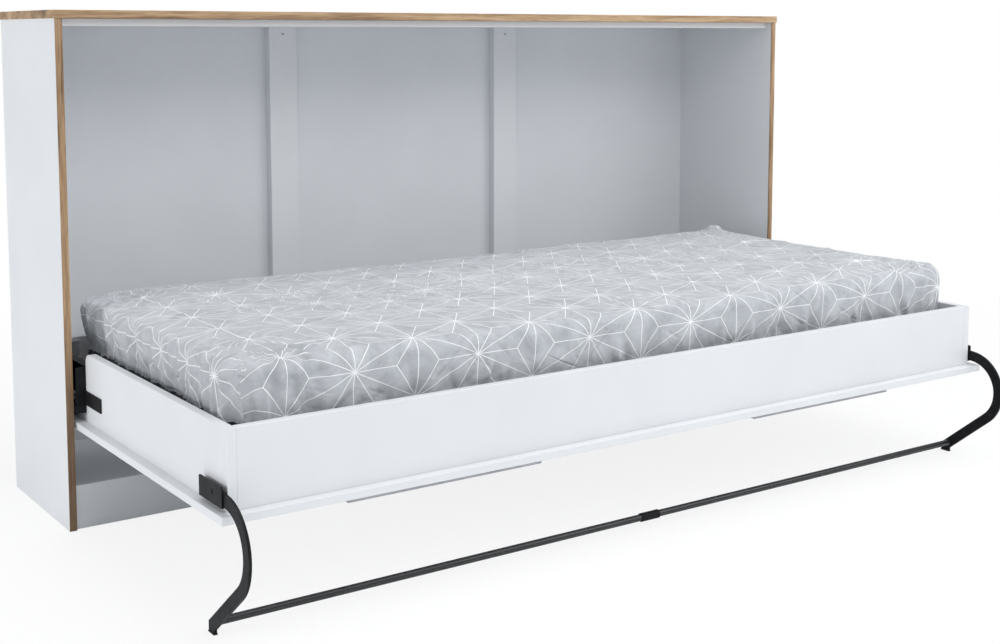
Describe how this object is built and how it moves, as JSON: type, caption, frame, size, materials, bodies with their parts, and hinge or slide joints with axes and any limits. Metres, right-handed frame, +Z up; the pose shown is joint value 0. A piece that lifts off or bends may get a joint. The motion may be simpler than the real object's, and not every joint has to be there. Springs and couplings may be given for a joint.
{
  "type": "cabinet bed",
  "caption": "Low wall cabinet with a fold-down bed: boxed slatted base and mattress on side pivots, gas springs, bow handles and a leg frame of bent flat bar.",
  "frame": {"origin": "on the floor under the centre of the open bed and cabinet's outline", "axes": "+X along the cabinet, +Y into the wall behind it, +Z up"},
  "size_m": [2.138, 1.244, 1.136],
  "materials": {
    "white_board": "satin melamine-faced board",
    "oak": "golden oak, fine straight grain",
    "back_board": "matt white-faced hardboard",
    "slat_wood": "sanded beech",
    "black_steel": "satin black powder coat",
    "zinc_steel": "bright zinc",
    "satin_steel": "satin",
    "nylon": "natural",
    "pad_plastic": "matt",
    "ticking": "woven ticking",
    "sheet": "soft cotton"
  },
  "bodies": {
    "cabinet": {"back_panel_centre": "back_board", "back_panel_left": "back_board", "back_panel_right": "back_board", "back_stile_left": "white_board", "back_stile_right": "white_board", "bottom_board": "white_board", "inner_top_board": "white_board", "mounting_plate_left": "black_steel", "mounting_plate_right": "black_steel", "mounting_plate_screws": "zinc_steel", "pivot_pin_left": "zinc_steel", "pivot_pin_right": "zinc_steel", "plinth_front": "white_board", "plinth_rear": "white_board", "side_edge_left": "oak", "side_edge_right": "oak", "side_panel_left": "white_board", "side_panel_right": "white_board", "spring_studs_upper": "zinc_steel", "top_panel": "oak"},
    "bed": {"corner_brackets": "zinc_steel", "end_board_left": "white_board", "end_board_right": "white_board", "fitted_sheet": "sheet", "front_panel": "white_board", "front_rail": "white_board", "handle_left": "satin_steel", "handle_right": "satin_steel", "handle_screws": "zinc_steel", "hinge_casing_left": "black_steel", "hinge_casing_right": "black_steel", "hinge_casing_screws": "zinc_steel", "leg_bracket_left": "black_steel", "leg_bracket_right": "black_steel", "leg_pivot_bolts": "black_steel", "mattress": "ticking", "pivot_bush_left": "nylon", "pivot_bush_right": "nylon", "rear_rail": "white_board", "slat_batten_front": "slat_wood", "slat_batten_rear": "slat_wood", "slats": "slat_wood", "spring_studs_lower": "zinc_steel"},
    "leg_frame": {"leg_arm_left": "black_steel", "leg_arm_right": "black_steel", "leg_foot_pads": "pad_plastic", "leg_tube_left": "black_steel", "leg_tube_right": "black_steel", "leg_tube_sleeve": "black_steel"},
    "strut_left": {"gas_tube_left": "black_steel"},
    "strut_left_rod": {"gas_rod_left": "zinc_steel"},
    "strut_right": {"gas_tube_right": "black_steel"},
    "strut_right_rod": {"gas_rod_right": "zinc_steel"}
  },
  "joints": [
    {"name": "bed_fold", "type": "hinge", "parent": "cabinet", "child": "bed", "pos_m": [0, 0.2875, 0.2875], "axis": [-1, 0, 0], "range_deg": [0, 86]},
    {"name": "leg_fold", "type": "hinge", "parent": "bed", "child": "leg_frame", "pos_m": [0, -0.474, 0.27], "axis": [-1, 0, 0], "range_deg": [0, 190]},
    {"name": "strut_left_swing", "type": "hinge", "parent": "cabinet", "child": "strut_left", "pos_m": [-1.035, 0.4275, 0.4525], "axis": [-1, 0, 0], "range_deg": [0, 15.95]},
    {"name": "strut_left_slide", "type": "slide", "parent": "strut_left", "child": "strut_left_rod", "axis": [0, -0.2204, -0.9754], "range_m": [0, 0.12143]},
    {"name": "strut_right_swing", "type": "hinge", "parent": "cabinet", "child": "strut_right", "pos_m": [1.035, 0.4275, 0.4525], "axis": [-1, 0, 0], "range_deg": [0, 15.95]},
    {"name": "strut_right_slide", "type": "slide", "parent": "strut_right", "child": "strut_right_rod", "axis": [0, -0.2204, -0.9754], "range_m": [0, 0.12143]}
  ],
  "couplings": [
    {"joint": "strut_left_swing", "follows": "bed_fold", "ratio": 0.18485},
    {"joint": "strut_left_slide", "follows": "bed_fold", "m_per_rad": 0.080701},
    {"joint": "strut_right_swing", "follows": "bed_fold", "ratio": 0.18485},
    {"joint": "strut_right_slide", "follows": "bed_fold", "m_per_rad": 0.080701}
  ]
}
